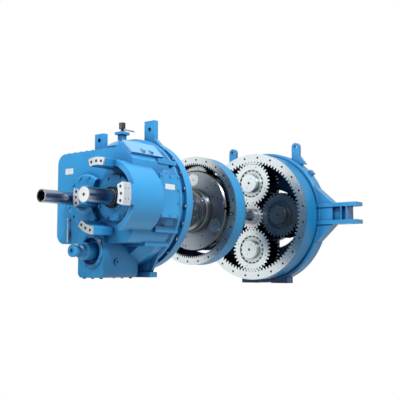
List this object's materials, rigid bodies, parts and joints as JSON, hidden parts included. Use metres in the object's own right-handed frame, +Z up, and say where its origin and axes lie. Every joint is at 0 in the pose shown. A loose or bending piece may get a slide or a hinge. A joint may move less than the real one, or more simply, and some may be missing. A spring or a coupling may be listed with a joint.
{
  "type": "reduction gearbox",
  "caption": "Large reduction gearbox with planetary stages and a parallel stage, its three casings pulled apart on one axis, with torque arms and brake mounts.",
  "frame": {"origin": "centre of the mouth of the low-speed bore", "axes": "+X along the main axis out of the low-speed bore, +Z up, high-speed shaft on the -Y side"},
  "size_m": [4.267, 2.8, 1.9298],
  "materials": {
    "casting_paint": "satin paint",
    "machined_steel": "fine turned",
    "dark_steel": "oiled, ground",
    "bearing_steel": "polished",
    "fastener_steel": "zinc plated",
    "black_cap": "moulded"
  },
  "bodies": {
    "first_stage": {"torque_arm_housing": "casting_paint", "first_ring_gear": "machined_steel", "low_speed_bearing": "bearing_steel", "low_speed_retainer": "casting_paint"},
    "low_speed_carrier": {"low_speed_carrier": "machined_steel", "first_planet_pins": "machined_steel"},
    "first_sun": {"first_sun_shaft": "dark_steel"},
    "second_stage": {"second_ring_gear": "machined_steel", "second_casing": "casting_paint", "second_carrier_bearing": "bearing_steel"},
    "second_carrier": {"second_carrier": "machined_steel", "oil_block": "machined_steel", "second_planet_pins": "machined_steel"},
    "second_sun": {"second_sun_shaft": "dark_steel"},
    "wheel": {"wheel": "machined_steel"},
    "high_speed_shaft": {"high_speed_shaft": "dark_steel", "shaft_collar": "dark_steel"},
    "pitch_tube": {"pitch_tube": "machined_steel"},
    "breather_tap": {"breather_tap": "dark_steel"},
    "dipstick": {"dipstick": "fastener_steel"},
    "first_planet_1": {"first_planet_gear_1": "machined_steel", "first_planet_bearing_1": "bearing_steel"},
    "first_planet_2": {"first_planet_gear_2": "machined_steel", "first_planet_bearing_2": "bearing_steel"},
    "first_planet_3": {"first_planet_gear_3": "machined_steel", "first_planet_bearing_3": "bearing_steel"},
    "first_planet_4": {"first_planet_gear_4": "machined_steel", "first_planet_bearing_4": "bearing_steel"},
    "second_planet_1": {"second_planet_gear_1": "machined_steel", "second_planet_bearing_1": "bearing_steel"},
    "second_planet_2": {"second_planet_gear_2": "machined_steel", "second_planet_bearing_2": "bearing_steel"},
    "second_planet_3": {"second_planet_gear_3": "machined_steel", "second_planet_bearing_3": "bearing_steel"},
    "high_speed_stage": {"brake_shoe_bottom": "machined_steel", "brake_shoe_left": "machined_steel", "brake_shoe_right": "machined_steel", "brake_shoe_top": "machined_steel", "breather": "black_cap", "breather_bracket": "casting_paint", "dipstick_tube": "dark_steel", "drain_plug": "fastener_steel", "groove_bolts": "fastener_steel", "high_speed_cover": "casting_paint", "high_speed_cover_bolts": "fastener_steel", "level_plug": "fastener_steel", "main_cover": "casting_paint", "main_cover_bolts": "fastener_steel", "main_housing": "casting_paint", "oil_pump": "casting_paint", "shaft_front_bearing": "bearing_steel", "shaft_rear_bearing": "bearing_steel", "shoulder_cover": "casting_paint", "side_cover": "casting_paint", "side_cover_bolts": "fastener_steel", "tube_seal": "dark_steel", "wheel_front_bearing": "bearing_steel", "wheel_rear_bearing": "bearing_steel"}
  },
  "joints": [
    {"name": "second_stage_slide", "type": "slide", "parent": "first_stage", "child": "second_stage", "axis": [1, 0, 0], "range_m": [0, 0.832]},
    {"name": "high_speed_stage_slide", "type": "slide", "parent": "second_stage", "child": "high_speed_stage", "axis": [1, 0, 0], "range_m": [0, 0.866]},
    {"name": "low_speed_turn", "type": "hinge", "parent": "first_stage", "child": "low_speed_carrier", "pos_m": [-0.1, 0, 0], "axis": [1, 0, 0], "continuous": true},
    {"name": "first_sun_turn", "type": "hinge", "parent": "first_stage", "child": "first_sun", "pos_m": [-0.6, 0, 0], "axis": [1, 0, 0], "continuous": true},
    {"name": "second_carrier_turn", "type": "hinge", "parent": "second_stage", "child": "second_carrier", "pos_m": [-1.9, 0, 0], "axis": [1, 0, 0], "continuous": true},
    {"name": "second_sun_turn", "type": "hinge", "parent": "second_stage", "child": "second_sun", "pos_m": [-1.9, 0, 0], "axis": [1, 0, 0], "continuous": true},
    {"name": "wheel_turn", "type": "hinge", "parent": "high_speed_stage", "child": "wheel", "pos_m": [-3.25, 0, 0], "axis": [1, 0, 0], "continuous": true},
    {"name": "high_speed_turn", "type": "hinge", "parent": "high_speed_stage", "child": "high_speed_shaft", "pos_m": [-3.25, -0.414, 0], "axis": [1, 0, 0], "continuous": true},
    {"name": "pitch_tube_turn", "type": "hinge", "parent": "high_speed_stage", "child": "pitch_tube", "pos_m": [-3.7, 0, 0], "axis": [1, 0, 0], "continuous": true},
    {"name": "breather_tap_turn", "type": "hinge", "parent": "high_speed_stage", "child": "breather_tap", "pos_m": [-3.18, -0.0435, 0.798], "axis": [0, -1, 0], "range_deg": [0, 90]},
    {"name": "dipstick_pull", "type": "slide", "parent": "high_speed_stage", "child": "dipstick", "axis": [0, 0, 1], "range_m": [0, 0.12]},
    {"name": "first_planet_1_turn", "type": "hinge", "parent": "low_speed_carrier", "child": "first_planet_1", "pos_m": [-0.55, 0.448, 0], "axis": [1, 0, 0], "continuous": true},
    {"name": "first_planet_2_turn", "type": "hinge", "parent": "low_speed_carrier", "child": "first_planet_2", "pos_m": [-0.55, 0, 0.448], "axis": [1, 0, 0], "continuous": true},
    {"name": "first_planet_3_turn", "type": "hinge", "parent": "low_speed_carrier", "child": "first_planet_3", "pos_m": [-0.55, -0.448, 0], "axis": [1, 0, 0], "continuous": true},
    {"name": "first_planet_4_turn", "type": "hinge", "parent": "low_speed_carrier", "child": "first_planet_4", "pos_m": [-0.55, 0, -0.448], "axis": [1, 0, 0], "continuous": true},
    {"name": "second_planet_1_turn", "type": "hinge", "parent": "second_carrier", "child": "second_planet_1", "pos_m": [-1.85, 0, 0.375], "axis": [1, 0, 0], "continuous": true},
    {"name": "second_planet_2_turn", "type": "hinge", "parent": "second_carrier", "child": "second_planet_2", "pos_m": [-1.85, -0.32476, -0.1875], "axis": [1, 0, 0], "continuous": true},
    {"name": "second_planet_3_turn", "type": "hinge", "parent": "second_carrier", "child": "second_planet_3", "pos_m": [-1.85, 0.32476, -0.1875], "axis": [1, 0, 0], "continuous": true}
  ],
  "couplings": [
    {"joint": "first_sun_turn", "follows": "low_speed_turn", "ratio": 5.3333},
    {"joint": "second_carrier_turn", "follows": "low_speed_turn", "ratio": 5.3333},
    {"joint": "second_sun_turn", "follows": "low_speed_turn", "ratio": 21.622},
    {"joint": "wheel_turn", "follows": "low_speed_turn", "ratio": 21.622},
    {"joint": "high_speed_turn", "follows": "low_speed_turn", "ratio": -83.073},
    {"joint": "pitch_tube_turn", "follows": "low_speed_turn", "ratio": 1},
    {"joint": "first_planet_1_turn", "follows": "low_speed_turn", "ratio": -2.6},
    {"joint": "first_planet_2_turn", "follows": "low_speed_turn", "ratio": -2.6},
    {"joint": "first_planet_3_turn", "follows": "low_speed_turn", "ratio": -2.6},
    {"joint": "first_planet_4_turn", "follows": "low_speed_turn", "ratio": -2.6},
    {"joint": "second_planet_1_turn", "follows": "low_speed_turn", "ratio": -15.86},
    {"joint": "second_planet_2_turn", "follows": "low_speed_turn", "ratio": -15.86},
    {"joint": "second_planet_3_turn", "follows": "low_speed_turn", "ratio": -15.86}
  ]
}
